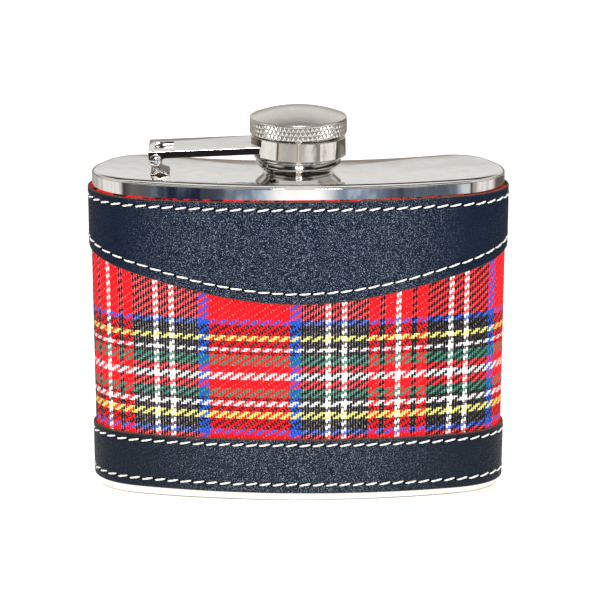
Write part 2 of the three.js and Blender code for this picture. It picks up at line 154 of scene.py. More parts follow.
class Finish:
    """A material being written. Its node method makes any node and returns its first output."""

    def __init__(self, name):
        self.material = bpy.data.materials.new(name)
        self.material.use_nodes = True
        self.tree = self.material.node_tree
        self.surface = self.tree.nodes["Principled BSDF"]

    def node(self, kind, settings=None, values=None, output=0):
        made = self.tree.nodes.new("ShaderNode" + kind)
        for name, value in (settings or {}).items():
            if name in ("stops", "steps"):
                self.fill_ramp(made.color_ramp, value, "LINEAR" if name == "stops" else "CONSTANT")
            else:
                setattr(made, name, value)
        for name, value in (values or {}).items():
            self.feed(made.inputs[name], value)
        return Signal(self, made.outputs[output])

    @staticmethod
    def fill_ramp(ramp, stops, interpolation):
        ramp.interpolation = interpolation
        while len(ramp.elements) < len(stops):
            ramp.elements.new(1.0)
        for element, (place, colour) in zip(ramp.elements, stops):
            element.position = place
            element.color = (*colour, 1)

    def feed(self, socket, value):
        if isinstance(value, Signal):
            self.tree.links.new(value.socket, socket)
        elif isinstance(value, tuple) and len(value) == 3 and socket.type == "RGBA":
            socket.default_value = (*value, 1)
        else:
            socket.default_value = value

    def set(self, **values):
        """Sets the surface's sockets; an underscore in a name stands for a space."""
        for name, value in values.items():
            self.feed(self.surface.inputs[name.replace("_", " ")], value)

    def mix(self, mask, a, b):
        """Colour a where mask is 0, colour b where it is 1."""
        return self.node("Mix", {"data_type": "RGBA"}, {0: mask, 6: a, 7: b}, output=2)

    def place(self):
        """The point's place on the part, in millimetres."""
        coordinates = self.node("TexCoord", output=3)
        return self.node("VectorMath", {"operation": "SCALE"}, {0: coordinates, 3: 1 / MM})

    def attribute(self, name):
        """The three numbers that a mesh carries under this name."""
        vector = self.node("Attribute", {"attribute_name": name}, output=1)
        split = self.node("SeparateXYZ", {}, {0: vector})
        outputs = split.socket.node.outputs
        return [Signal(self, socket) for socket in outputs]

    def noise(self, vector, scale, detail=2.0, roughness=0.5):
        values = {"Vector": vector, "Scale": scale, "Detail": detail, "Roughness": roughness}
        return self.node("TexNoise", {}, values)

    def bump(self, height, distance_mm, strength=1.0, normal=None):
        values = {"Height": height, "Distance": distance_mm * MM, "Strength": strength}
        if normal is not None:
            values["Normal"] = normal
        return self.node("Bump", {}, values)


# %% [markdown]
# ## Steel
# Stainless sheet is bright because it is metal, not because it is white: full metallic, a low roughness,
# and a surface that is never quite flat. The body is polished after welding, so long shallow ripples bend
# its reflections; the cap is only satin.

# %% Steel finishes
def steel(name, colour, rough, ripple_mm, ripple_size, scratch):
    finish = Finish(name)
    place = finish.place()
    ripple = finish.noise(place, ripple_size, 1.0)
    fine = finish.noise(place, 9.0, 3.0, 0.6)
    long_marks = finish.node("Mapping", {}, {0: place, 3: (0.25, 0.25, 6.0)})
    marks = finish.noise(long_marks, 2.4, 4.0, 0.7)
    wear = finish.noise(place, 0.35, 3.0)
    smudge = finish.mix(wear.ramp(0.35, 0.7), colour, tuple(0.93 * c for c in colour))
    normal = finish.bump(ripple, ripple_mm)
    normal = finish.bump(marks, scratch, normal=normal)
    finish.set(
        Base_Color=smudge,
        Metallic=1.0,
        Roughness=rough + 0.06 * fine.ramp(0.4, 0.8) + 0.04 * wear,
        Normal=normal,
    )
    return finish.material


POLISHED = steel("polished_steel", (0.80, 0.79, 0.775), 0.02, 0.05, 0.08, 0.0003)
SATIN = steel("satin_steel", (0.77, 0.745, 0.71), 0.24, 0.02, 0.3, 0.002)
BRIGHT = steel("bright_steel", (0.82, 0.80, 0.77), 0.05, 0.03, 0.5, 0.0008)
# Painted shade: the hinge lug under the arm is given this dark steel colour to stand for the shade there.
LUG_SHADE_STEEL = steel("lug_steel_painted_dark", (0.20, 0.18, 0.165), 0.3, 0.05, 0.9, 0.002)
print("steel finishes", POLISHED.name, SATIN.name, BRIGHT.name, LUG_SHADE_STEEL.name)

# %% [markdown]
# ## The plan of the body
# Seen from above, the body is a bar bent round an arc, so that it sits against a hip. The corners in
# front are rounder than those behind. Every wall and every wrap follows this one outline at its own
# distance from the steel, so the outline is written once, as points round the bar that are then bent.

# %% Plan of the body
HEIGHT = 73.7
THICKNESS = 26.0
BEND = 102.0
FRONT_CORNER = 13.0
BACK_CORNER = 8.5
TOP_WIDTH = 92.4
BASE_WIDTH = 90.0


def stations(back, back_corner, end, front_corner, front):
    """Rows of (run, side, turn, corner, hand) round the bar, from the back's middle by the left end."""
    rows = [(i / back, 1, 90, BACK_CORNER) for i in range(back)]
    rows += [(1, 1, 90 - 90 * i / back_corner, BACK_CORNER) for i in range(back_corner)]
    rows += [(1, 0, i / end, 0) for i in range(end)]
    rows += [(1, -1, 90 * i / front_corner, FRONT_CORNER) for i in range(front_corner)]
    rows += [(1 - i / front, -1, 90, FRONT_CORNER) for i in range(front + 1)]
    mirrored = rows[1:-1][::-1]
    return np.array([(*row, -1) for row in rows] + [(*row, 1) for row in mirrored], dtype=float)


def plan(points, half, out):
    """x and y of each station, in millimetres, for a bar of that half length, out mm off the steel."""
    run, side, turn, corner, hand = points.T
    angle = np.radians(turn)
    s = (half - corner) * run + np.where(turn < 90, np.cos(angle) * (corner + out), 0)
    t = side * (THICKNESS / 2 - corner + np.sin(angle) * (corner + out))
    end = side == 0
    s = np.where(end, half + out, s)
    low = THICKNESS / 2 - BACK_CORNER
    t = np.where(end, low + turn * (FRONT_CORNER - THICKNESS / 2 - low), t)
    bend = hand * s / BEND
    return (BEND - t) * np.sin(bend), BEND - (BEND - t) * np.cos(bend)


FINE = stations(150, 22, 8, 34, 190)


def half_for(width):
    low, high = width / 4, width
    for _ in range(40):
        middle = (low + high) / 2
        if plan(FINE, middle, 0)[0].max() > width / 2:
            high = middle
        else:
            low = middle
    return low


TOP_HALF = half_for(TOP_WIDTH)
BASE_HALF = half_for(BASE_WIDTH)


def half_at(z):
    return BASE_HALF + (TOP_HALF - BASE_HALF) * z / HEIGHT


def distances(x, y):
    """How far round the outline each point is, from the middle of the front, positive to the right."""
    step = np.hypot(np.diff(x), np.diff(y))
    along = np.concatenate([[0], np.cumsum(step)])
    return along - along[len(x) // 2]


print("half lengths", round(BASE_HALF, 3), round(TOP_HALF, 3))

# %% [markdown]
# ## Turning rows of points into a piece
# Most pieces are skins over rows of points. One helper joins the rows with quads, one finishes an
# object: smooth faces, sharp edges where the metal is really folded, a material, and its body to ride.

# %% Mesh helpers
def grid_faces(rows, columns, close_rows, close_columns):
    """Quads between neighbouring rows and columns of a grid, numbered row by row."""
    faces = []
    for i in range(rows if close_rows else rows - 1):
        for j in range(columns if close_columns else columns - 1):
            i2, j2 = (i + 1) % rows, (j + 1) % columns
            faces.append((i * columns + j, i * columns + j2, i2 * columns + j2, i2 * columns + j))
    return faces


def finish_piece(mesh, name, body, material, slot, replaced, sharp=38):
    """Makes the object: outward faces, soft shading but for sharp folds, its finish and its body."""
    work = bmesh.new()
    work.from_mesh(mesh)
    bmesh.ops.recalc_face_normals(work, faces=work.faces)
    if work.calc_volume(signed=True) < 0:
        bmesh.ops.reverse_faces(work, faces=work.faces)
    work.to_mesh(mesh)
    work.free()
    mesh.shade_smooth()
    mesh.set_sharp_from_angle(angle=math.radians(sharp))
    mesh.materials.append(material)
    piece = bpy.data.objects.new(name, mesh)
    bpy.context.collection.objects.link(piece)
    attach(piece, body)
    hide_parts(*replaced)
    if slot.endswith("steel"):
        flatter = piece.modifiers.new("flat faces stay flat", "WEIGHTED_NORMAL")
        flatter.keep_sharp = True
        flatter.weight = 90
    print(name, len(mesh.polygons), "faces")
    return piece


def mesh_from(points_mm, faces, name):
    mesh = bpy.data.meshes.new(name)
    mesh.from_pydata([tuple(p) for p in (np.asarray(points_mm) * MM)], [], faces)
    return mesh


def in_place(points):
    """Moves points from the neck's own axis to the part's frame, in millimetres."""
    return np.asarray(points) + np.array([0, NECK_Y / MM, 0])


# %% [markdown]
# ## Steel body
# The side is one sheet rolled into a sleeve. The shoulder plate and the base pan are pressed with a
# turned-down edge, welded on and ground flush, which leaves a faint line all round. Each is a closed
# section swept round the plan, with a tiny round where two sheets meet so that the line shows.

# %% Steel body
SHEET = 0.6
RIM_ROUND = 0.95
BASE_DEPTH = 1.6
SEAM = 0.13
STANDING_RIM = 3.4
BASE_RECESS = 0.8
HOLE = 6.95
DROOP = 0.16


def sweep(section, points=FINE):
    """Sweeps (out, z) corners round the plan; a corner with a third entry lies on a circle instead."""
    rows = []
    for out, z, *circle in section:
        x, y = plan(points, half_at(z), 0 if circle else out)
        if circle:
            far = np.hypot(x, y)
            blend = circle[0]
            x = x * (out / far) * blend + (1 - blend) * plan(points, half_at(z), -RIM_ROUND)[0]
            y = y * (out / far) * blend + (1 - blend) * plan(points, half_at(z), -RIM_ROUND)[1]
        rows.append(np.stack([x, y, np.full(len(x), z)], 1))
    return in_place(np.concatenate(rows)), grid_faces(len(rows), len(points), True, True)


def arc(centre_out, centre_z, radius, start, stop, steps):
    """Corners of a round in a section, angles in degrees from straight out, up positive."""
    angles = np.radians(np.linspace(start, stop, steps + 1))
    return [(centre_out + radius * math.cos(a), centre_z + radius * math.sin(a)) for a in angles]


side_top = HEIGHT - RIM_ROUND
sleeve_section = [
    *arc(-SEAM, BASE_DEPTH + SEAM, SEAM, -90, 0, 3),
    (0, BASE_DEPTH + 0.4), (0, 12), (0, 30), (0, 50), (0, 66), (0, side_top - 0.3),
    *arc(-SEAM, side_top - SEAM, SEAM, 0, 90, 3),
    (-SHEET, side_top), (-SHEET, BASE_DEPTH),
]
plate_section = [
    *arc(-SEAM, side_top + SEAM, SEAM, -90, 0, 3),
    *arc(-RIM_ROUND, side_top - DROOP, RIM_ROUND, 16, 90, 12),
    (-RIM_ROUND - 0.4, HEIGHT - DROOP + 0.005),
    *[(HOLE, HEIGHT - DROOP * (1 - blend) ** 2, blend) for blend in (0.12, 0.25, 0.4, 0.55, 0.7, 0.85, 1.0)],
    *[(HOLE, HEIGHT - SHEET, blend) for blend in (1.0, 0.5)],
    (-RIM_ROUND, HEIGHT - SHEET), (-SHEET, side_top),
]
pan_section = [
    *arc(-0.45, 0.45, 0.45, -90, 0, 6),
    *arc(-SEAM, BASE_DEPTH - SEAM, SEAM, 0, 90, 3),
    (-SHEET, BASE_DEPTH), (-SHEET, SHEET),
    (-STANDING_RIM - SHEET, SHEET), (-STANDING_RIM - 2 * SHEET, SHEET + BASE_RECESS),
    (0.02, SHEET + BASE_RECESS, 1.0), (0.02, BASE_RECESS, 1.0),
    (-STANDING_RIM - SHEET, BASE_RECESS), (-STANDING_RIM - 0.15, 0.08), (-STANDING_RIM, 0),
]
for name, section in (
    ("body_sleeve", sleeve_section), ("shoulder_plate", plate_section), ("base_pan", pan_section)
):
    points, faces = sweep(section)
    finish_piece(mesh_from(points, faces, name), "steel_" + name, "flask", POLISHED, "polished_steel",
                 [name])

# %% [markdown]
# ## Neck
# The neck is turned from bar: a foot on the plate, a seat flared out to meet the cap, and a thin tube
# with a rolled thread. A thread is a ridge whose height at each turn depends on the angle, so the
# turned rows are simply pushed out where the ridge passes.

# %% Turned pieces
def turned(section, name, steps=192, flats=0, thread=None, bulge=0.0):
    """Turns (radius, z) corners about the neck's axis; z is above the shoulder plate.

    flats makes the corners marked with a third entry many-sided; thread adds a helical ridge to the
    corners marked with a third entry.
    """
    angles = np.arange(steps) * 2 * math.pi / steps - math.pi / 2
    rows = []
    for radius, z, *mark in section:
        reach = np.full(steps, float(radius))
        if mark and flats:
            corner = 2 * math.pi / flats
            off = (angles + math.pi / 2) % corner - corner / 2
            flat = radius * math.cos(corner / 2) / np.cos(off)
            reach = np.minimum(flat + (radius - flat) * bulge, radius * 0.997)
        if mark and thread:
            start, turns, pitch, ridge, inward = thread
            phase = (z - start) / pitch - (angles + math.pi / 2) / (2 * math.pi)
            nearest = np.clip(np.round(phase), 0, turns - 1)
            gap = (phase - nearest) * pitch
            height = ridge * np.exp(-((gap / (0.24 * pitch)) ** 2))
            ends = np.clip((z - start + 0.4) / 0.6, 0, 1) * np.clip((start + turns * pitch - z) / 0.6, 0, 1)
            reach = reach + (-1 if inward else 1) * height * ends
        rows.append(np.stack([reach * np.cos(angles), reach * np.sin(angles),
                              np.full(steps, HEIGHT + z)], 1))
    points = in_place(np.concatenate(rows))
    return mesh_from(points, grid_faces(len(rows), steps, True, True), name)


def rounded(corners, radius=0.12, steps=3):
    """The section's sharp corners cut to small rounds, as a lathe tool leaves them."""
    out = []
    count = len(corners)
    for i, (x, z, *mark) in enumerate(corners):
        here = np.array([x, z])
        before = np.array(corners[i - 1][:2]) - here
        after = np.array(corners[(i + 1) % count][:2]) - here
        reach = min(radius, 0.4 * np.linalg.norm(before), 0.4 * np.linalg.norm(after))
        a = here + before / np.linalg.norm(before) * reach
        b = here + after / np.linalg.norm(after) * reach
        for k in range(steps + 1):
            f = k / steps
            point = (1 - f) ** 2 * a + 2 * f * (1 - f) * here + f * f * b
            out.append((*point, *mark))
    return out


neck_foot = rounded([
    (6.0, -2.4), (6.9, -2.4), (6.9, 0.0), (7.9, 0.0), (7.8, 0.3), (8.35, 0.95),
    (9.6, 2.3), (9.35, 3.4), (6.9, 3.45),
], 0.18)
threaded_rows = [(6.9, z, "thread") for z in np.arange(3.7, 9.5, 0.12)]
neck_lip = rounded([(6.9, 9.7), (6.6, 10.0), (6.0, 10.0)], 0.12)
neck_mesh = turned(neck_foot + threaded_rows + neck_lip, "neck", thread=(4.2, 2, 2.2, 0.4, False))
finish_piece(neck_mesh, "turned_neck", "flask", BRIGHT, "polished_steel", ["neck"], sharp=50)

# %% [markdown]
# ## Collar
# The collar is pressed to fourteen flats, so each one mirrors a different slice of the room. It hangs a
# little lower on the side away from the hinge, because it is only held by the arm.

# %% Collar
COLLAR_LOW, COLLAR_TOP = 4.4, 8.6
COLLAR_TILT = math.radians(1.5)
collar_section = rounded([
    (9.2, COLLAR_LOW), (10.85, COLLAR_LOW, "flat"), (10.65, COLLAR_TOP, "flat"), (9.2, COLLAR_TOP)
], 0.16)
collar_mesh = turned(collar_section, "cap_collar", steps=224, flats=14, bulge=0.3)
pivot = Vector((0, NECK_Y, (HEIGHT + (COLLAR_LOW + COLLAR_TOP) / 2) * MM))
for vertex in collar_mesh.vertices:
    off = vertex.co - pivot
    vertex.co = pivot + Vector((
        off.x * math.cos(COLLAR_TILT) + off.z * math.sin(COLLAR_TILT),
        off.y,
        off.z * math.cos(COLLAR_TILT) - off.x * math.sin(COLLAR_TILT),
    ))
finish_piece(collar_mesh, "faceted_collar", "arm", BRIGHT, "polished_steel", ["cap_collar"], sharp=60)

# %% [markdown]
# ## Cap crown
# The grip is a diamond knurl: a roller presses rows of small pits into the band, and what is left
# between them is a raised lattice. It is cut into the mesh itself, because it breaks the cap's outline. Above it the edge
# is a smooth round and the top a low satin dome.

# %% Cap crown
KNURL_COUNT = 62
KNURL_DEPTH = 0.34
KNURL_RIDGE = 0.14
KNURL_LOW, KNURL_HIGH = 9.2, 12.05
KNURL_LEAN = 0.56
CROWN_OUT = 10.8
EDGE_TOP, APEX, DOME_RISE, DOME_OUT = 12.72, 14.85, 2.03, 10.58
KNURL_STEPS = KNURL_COUNT * 12

knurl_pitch = 2 * math.pi * CROWN_OUT / KNURL_COUNT
below = [(8.94, 11.45), (8.94, 9.05), (10.3, 9.05), (10.45, 9.12)]
band = [(CROWN_OUT, z, "knurl") for z in np.linspace(KNURL_LOW, KNURL_HIGH, 34)]
above = [(10.62, 12.08), (10.72, 12.16), (10.76, 12.3), (10.76, EDGE_TOP - 0.12), (10.73, EDGE_TOP),
         (10.66, EDGE_TOP + 0.07)]
above += [(r, APEX - DOME_RISE * (r / DOME_OUT) ** 2) for r in np.linspace(DOME_OUT, 0.02, 20)]
above += [(0.02, 11.45)]
angles = np.arange(KNURL_STEPS) * 2 * math.pi / KNURL_STEPS
rows = []
for radius, z, *mark in below + band + above:
    reach = np.full(KNURL_STEPS, float(radius))
    if mark:
        across = angles * CROWN_OUT / knurl_pitch
        up = (z - KNURL_LOW) * KNURL_LEAN / knurl_pitch
        rising = 1 - np.abs((across + up) % 1 - 0.5) * 2
        falling = 1 - np.abs((across - up) % 1 - 0.5) * 2
        pit = np.clip((np.minimum(rising, falling) - KNURL_RIDGE) / (1 - KNURL_RIDGE), 0, 1)
        reach -= KNURL_DEPTH * pit
    rows.append(np.stack([reach * np.cos(angles), reach * np.sin(angles),
                          np.full(KNURL_STEPS, HEIGHT + z)], 1))
crown_faces = grid_faces(len(rows), KNURL_STEPS, True, True)
crown_mesh = mesh_from(in_place(np.concatenate(rows)), crown_faces, "cap_crown")
finish_piece(crown_mesh, "knurled_crown", "cap", SATIN, "satin_steel", ["cap_crown"], sharp=50)

# %% [markdown]
# ## Cap sleeve, retaining ring and gasket
# Under the crown a threaded sleeve passes through the collar, a ring pressed on its end keeps it there,
# and a rubber disc seals on the neck. They only show when the cap is lifted.

# %% Inside of the cap
sleeve_section = rounded([(8.3, 3.6), (8.9, 3.6), (8.9, 11.4), (8.3, 11.4)], 0.1)
sleeve_section += [(8.3, z, "thread") for z in np.arange(11.2, 3.9, -0.12)]
sleeve_mesh = turned(sleeve_section, "cap_sleeve", thread=(4.9, 2, 2.2, 0.3, True))
finish_piece(sleeve_mesh, "threaded_sleeve", "cap", BRIGHT, "satin_steel", ["cap_sleeve"], sharp=50)
ring_section = rounded([(8.94, 3.6), (9.8, 3.6), (9.8, 4.0), (8.94, 4.0)], 0.1)
ring_mesh = turned(ring_section, "cap_retainer")
finish_piece(ring_mesh, "retaining_ring", "cap", BRIGHT, "satin_steel", ["cap_retainer"], sharp=50)

rubber = Finish("grey_rubber")
rubber_grain = rubber.noise(rubber.place(), 4.0, 4.0, 0.65)
rubber.set(
    Base_Color=rubber.mix(rubber_grain.ramp(0.3, 0.7), (0.24, 0.24, 0.23), (0.32, 0.31, 0.3)),
    Roughness=rubber_grain.ramp(0.2, 0.8, 0.55, 0.75),
    Normal=rubber.bump(rubber_grain, 0.03),
)
gasket_section = rounded([(0.02, 10.05), (8.2, 10.05), (8.2, 11.4), (0.02, 11.4)], 0.15)
gasket_mesh = turned(gasket_section, "cap_gasket")
finish_piece(gasket_mesh, "sealing_gasket", "cap", rubber.material, "gasket", ["cap_gasket"], sharp=50)


# %% [markdown]
# ## Hinge lug
# The lug is one strip of sheet folded round the pin, pinched together below it, with its two ends spread
# and spot-welded to the shoulder plate. Its side outline is drawn once and given the strip's width.

# %% Hinge lug
PIN_X, PIN_Z = 14.6 - TOP_WIDTH / 2, 4.0
PIN_RADIUS = 0.8
STRIP = 0.55
LUG_EYE = PIN_RADIUS + STRIP
LUG_WIDTH = 6.3
LUG_FOOT = 2.7
WAIST = 0.52


def outlined(name, outlines, width, bevel):
    """A plate of that width across the part, from closed (x, z) outlines; later ones are holes."""
    curve = bpy.data.curves.new(name, "CURVE")
    curve.dimensions = "2D"
    curve.fill_mode = "BOTH"
    curve.extrude = width / 2 - bevel
    curve.bevel_depth = bevel
    curve.bevel_resolution = 2
    curve.offset = -bevel
    for outline in outlines:
        spline = curve.splines.new("POLY")
        spline.points.add(len(outline) - 1)
        for point, (x, z) in zip(spline.points, outline):
            point.co = (x, z, 0, 1)
        spline.use_cyclic_u = True
    holder = bpy.data.objects.new(name, curve)
    bpy.context.collection.objects.link(holder)
    mesh = bpy.data.meshes.new_from_object(holder.evaluated_get(bpy.context.evaluated_depsgraph_get()))
    bpy.data.objects.remove(holder)
    for vertex in mesh.vertices:
        x, z, y = vertex.co
        vertex.co = (x, -y, z)
    work = bmesh.new()
    work.from_mesh(mesh)
    bmesh.ops.remove_doubles(work, verts=work.verts, dist=0.002)
    work.to_mesh(mesh)
    work.free()
    return mesh


def circle(x, z, radius, start, stop, steps):
    angles = np.radians(np.linspace(start, stop, steps + 1))
    return [(x + radius * math.cos(a), z + radius * math.sin(a)) for a in angles]


def scale_and_move(mesh, x, z, tip=0.0):
    """From millimetres about a local origin to metres in the part's frame, tipped about that origin."""
    for vertex in mesh.vertices:
        cx, cy, cz = vertex.co
        rx = cx * math.cos(tip) - cz * math.sin(tip)
        rz = cx * math.sin(tip) + cz * math.cos(tip)
        vertex.co = Vector(((rx + x) * MM, cy * MM + NECK_Y, (rz + z) * MM))


pinch = math.degrees(math.asin(WAIST / LUG_EYE))
lug_outline = [(LUG_FOOT, 0), (LUG_FOOT - 0.1, STRIP), (1.6, 0.75), (WAIST + 0.35, 1.25), (WAIST, 2.1)]
lug_outline += circle(0, PIN_Z, LUG_EYE, pinch - 90, 270 - pinch, 36)
lug_outline += [(-x, z) for x, z in lug_outline[4:0:-1]]
lug_outline += [(-LUG_FOOT, 0), (-LUG_FOOT + 1.4, 0), (0, STRIP), (LUG_FOOT - 1.4, 0)]
lug_outline = [(0.78 * x + 0.9, z) if z < 1 else (x, z) for x, z in lug_outline]
lug_mesh = outlined("hinge_lug", [lug_outline, circle(0, PIN_Z, PIN_RADIUS + 0.05, 0, 345, 23)],
                    LUG_WIDTH, 0.08)
scale_and_move(lug_mesh, PIN_X, HEIGHT)
# Painted shade: the lug takes the darkened steel.
finish_piece(lug_mesh, "folded_lug", "flask", LUG_SHADE_STEEL, "polished_steel", ["hinge_lug"])

# %% [markdown]
# ## Hinge pin
# A soft rivet is closed with a hammer, so its heads are round but lumpy.

# %% Hinge pin
ARM_WIDTH = 13.0
HEAD_RADIUS = 1.42
HEAD_THICK = 0.5
PIN_STEPS = 40
pin_half = ARM_WIDTH / 2 + 0.02
head = [(0.02, HEAD_THICK), (0.35, HEAD_THICK - 0.01), (0.7, HEAD_THICK - 0.04), (1.0, HEAD_THICK - 0.1),
        (1.25, HEAD_THICK - 0.2), (1.38, HEAD_THICK - 0.32), (HEAD_RADIUS, 0.1), (1.38, 0.0),
        (PIN_RADIUS, 0.0)]
profile = [(r, pin_half + y) for r, y in head] + [(r, -pin_half - y) for r, y in head[::-1]]
pin_rows = []
for radius, y in profile:
    row = []
    for k in range(PIN_STEPS):
        angle = 2 * math.pi * k / PIN_STEPS
        lump = 1.0
        if radius > PIN_RADIUS:
            spot = Vector((math.cos(angle), 0.3 * y, math.sin(angle))) * 2.4
            lump = 1 + 0.12 * noise.noise(spot)
        row.append((radius * lump * math.cos(angle), y, radius * lump * math.sin(angle)))
    pin_rows += row
pin_mesh = bpy.data.meshes.new("hinge_pin")
pin_mesh.from_pydata(pin_rows, [], grid_faces(len(profile), PIN_STEPS, False, True)
                     + [tuple(range(PIN_STEPS)),
                        tuple(range(len(pin_rows) - 1, len(pin_rows) - PIN_STEPS - 1, -1))])
for vertex in pin_mesh.vertices:
    x, y, z = vertex.co
    if abs(y) > pin_half + 0.3:
        dent = noise.noise(Vector((x, 0.3 * y, z)) * 2.1) * 0.22
        vertex.co.y += math.copysign(dent, y)
scale_and_move(pin_mesh, PIN_X, HEIGHT + PIN_Z)
finish_piece(pin_mesh, "hinge_rivet", "flask", BRIGHT, "satin_steel", ["hinge_pin"], sharp=50)

# %% [markdown]
# ## Arm
# The arm is a channel folded from sheet, flanges down. Two round ears hold the pin, an opening clears the
# lug, and the far end is cut to the collar's curve and welded to it. It is built as the metal is worked:
# fold the channel, trim it to its side outline, then punch the opening and the holes.

# %% Arm
ARM_SHEET = 0.55
ARM_TOP = LUG_EYE + ARM_SHEET + 0.15
ARM_DEPTH = 1.7
ARM_RISE = math.radians(2.5)
EAR = 1.55
FOLD = 0.22
COLLAR_MEETS = 10.2
arm_reach = -PIN_X


def carved(mesh, cutter, operation):
    """The mesh after one Boolean with the cutter."""
    objects = [bpy.data.objects.new(m.name, m) for m in (mesh, cutter)]
    for holder in objects:
        bpy.context.collection.objects.link(holder)
    change = objects[0].modifiers.new("cut", "BOOLEAN")
    change.object = objects[1]
    change.operation = operation
    change.solver = "EXACT"
    depsgraph = bpy.context.evaluated_depsgraph_get()
    result = bpy.data.meshes.new_from_object(objects[0].evaluated_get(depsgraph))
    for holder in objects:
        bpy.data.objects.remove(holder)
    return result


def box_mesh(low, high):
    work = bmesh.new()
    bmesh.ops.create_cube(work, size=1)
    for vertex in work.verts:
        vertex.co = Vector([a + (b - a) * (c + 0.5) for a, b, c in zip(low, high, vertex.co)])
    mesh = bpy.data.meshes.new("cutter")
    work.to_mesh(mesh)
    work.free()
    return mesh


half_width = ARM_WIDTH / 2
fold_out = circle(half_width - FOLD, ARM_TOP - FOLD, FOLD, 0, 90, 6)
fold_in = circle(half_width - ARM_SHEET - 0.1, ARM_TOP - ARM_SHEET - 0.1, 0.1, 90, 0, 2)
right_half = [(half_width, -2)] + fold_out
inner_half = fold_in + [(half_width - ARM_SHEET, -2)]
channel = right_half + [(-y, z) for y, z in right_half[::-1]]
channel += [(-y, z) for y, z in inner_half[::-1]] + inner_half
channel_rows = [(x, y, z) for x in (-3.0, 25.0) for y, z in channel]
n = len(channel)
arm_mesh = bpy.data.meshes.new("cap_arm")
arm_mesh.from_pydata(channel_rows, [], grid_faces(2, n, False, True)
                     + [tuple(range(n)), tuple(range(2 * n - 1, n - 1, -1))])
work = bmesh.new()
work.from_mesh(arm_mesh)
bmesh.ops.recalc_face_normals(work, faces=work.faces)
work.to_mesh(arm_mesh)
work.free()
flange_low = ARM_TOP - ARM_DEPTH
ear_side = math.degrees(math.asin(flange_low / EAR))
side_outline = [(-EAR, 0.1), (-EAR, ARM_TOP - 0.25), (-EAR + 0.25, ARM_TOP + 1), (24.0, ARM_TOP + 1)]
side_outline += [(24.0, flange_low), (2.2, flange_low), (1.85, flange_low - 0.06)]
side_outline += circle(0, 0, EAR, 2, -176, 24)
arm_mesh = carved(arm_mesh, outlined("side", [side_outline], 2 * ARM_WIDTH, 0.0), "INTERSECT")
arm_mesh = carved(arm_mesh, box_mesh((-0.15, -3.45, 0), (3.95, 3.45, 5)), "DIFFERENCE")
pin_hole = outlined("hole", [circle(0, 0, PIN_RADIUS + 0.05, 0, 345, 23)], 2 * ARM_WIDTH, 0.0)
arm_mesh = carved(arm_mesh, pin_hole, "DIFFERENCE")
collar_cut = bmesh.new()
bmesh.ops.create_cone(collar_cut, cap_ends=True, segments=96, radius1=COLLAR_MEETS,
                      radius2=COLLAR_MEETS, depth=20)
bmesh.ops.translate(collar_cut, verts=collar_cut.verts, vec=(arm_reach, 0, 0))
cut_mesh = bpy.data.meshes.new("collar_cut")
collar_cut.to_mesh(cut_mesh)
collar_cut.free()
arm_mesh = carved(arm_mesh, cut_mesh, "DIFFERENCE")
scale_and_move(arm_mesh, PIN_X, HEIGHT + PIN_Z, ARM_RISE)
arm = finish_piece(arm_mesh, "folded_arm", "arm", POLISHED, "polished_steel", ["cap_arm"])
soften = arm.modifiers.new("soft edges", "BEVEL")
soften.width = 0.07 * MM
soften.segments = 2
soften.limit_method = "ANGLE"
soften.angle_limit = math.radians(50)
print("arm faces", len(arm_mesh.polygons))

# %% [markdown]
# ## The jacket's own map
# Cloth and leather go once round the body from a butt seam down the middle of the back. Their stripes and
# stitches are laid out flat, by distance round (s, from the front's middle) and height (z). Each skin
# carries three numbers for its shader: the cloth s, z and how far it is below its top edge, the leather
# s, how far it is from an edge and how far from a needle hole.

# %% Skins
SEAM_GAP = 0.3
OPEN = np.concatenate([FINE, FINE[:1]])
OPEN[0, 0] = OPEN[-1, 0] = SEAM_GAP / 2 / (BASE_HALF - BACK_CORNER)
OPEN[-1, 4] = 1
REFERENCE_Z = 35.0
SKIN_S = distances(*plan(OPEN, half_at(REFERENCE_Z), 0.8))
ROUND = SKIN_S[-1] - SKIN_S[0]


def on_skin(s, z, out):
    """The point at distance s round, height z and out off the steel, before it is put in place."""
    x, y = plan(OPEN, half_at(z), out)
    return np.array([np.interp(s, SKIN_S, x), np.interp(s, SKIN_S, y), z])


def skin(name, outs, heights, second, third):
    """A closed skin from rows of out and z. The rows of second and third go into its attribute."""
    rows = []
    for out, z in zip(outs, heights):
        x, y = plan(OPEN, half_at(z), out)
        rows.append(np.stack([x, y, z], 1))
    columns = len(OPEN)
    count = len(rows)
    faces = grid_faces(count, columns, True, False)
    faces.append(tuple(i * columns for i in range(count)))
    faces.append(tuple((i + 1) * columns - 1 for i in range(count))[::-1])
    mesh = mesh_from(in_place(np.concatenate(rows)), faces, name)
    strip = mesh.attributes.new("strip", "FLOAT_VECTOR", "POINT")
    values = np.stack([
        np.tile(SKIN_S, count),
        np.concatenate(second),
        np.concatenate(third),
    ], 1)
    strip.data.foreach_set("vector", values.astype(np.float32).ravel())
    return mesh


print("round the skin", round(ROUND, 2), "mm")

# %% [markdown]
# ## Edges and rows
# Two leather bands leave the tartan showing between them. The upper band's lower edge is cut to a shallow
# wave, lowest in the middle of each face. The jacket was trimmed by hand, so its edges and stitch rows
# wander a few tenths of a millimetre, and each is kept as a height that changes round the body.

# %% Edges and rows
PITCH = ROUND / round(ROUND / 3.05)
WAVE, LEVEL_FROM = 5.965, 57.0
wave_s = np.minimum(np.abs(SKIN_S), LEVEL_FROM)
back_s = np.minimum(np.abs(ROUND / 2 - np.abs(SKIN_S)), LEVEL_FROM)
near = np.where(np.abs(SKIN_S) < ROUND / 4, wave_s, back_s)
FLAP_ROW = 49.05 + WAVE * (1 - np.cos(2 * math.pi * near / 150))


def along(pairs):
    """A height that follows (s, z) pairs smoothly round the skin."""
    return np.interp(SKIN_S, [p[0] for p in pairs], [p[1] for p in pairs])


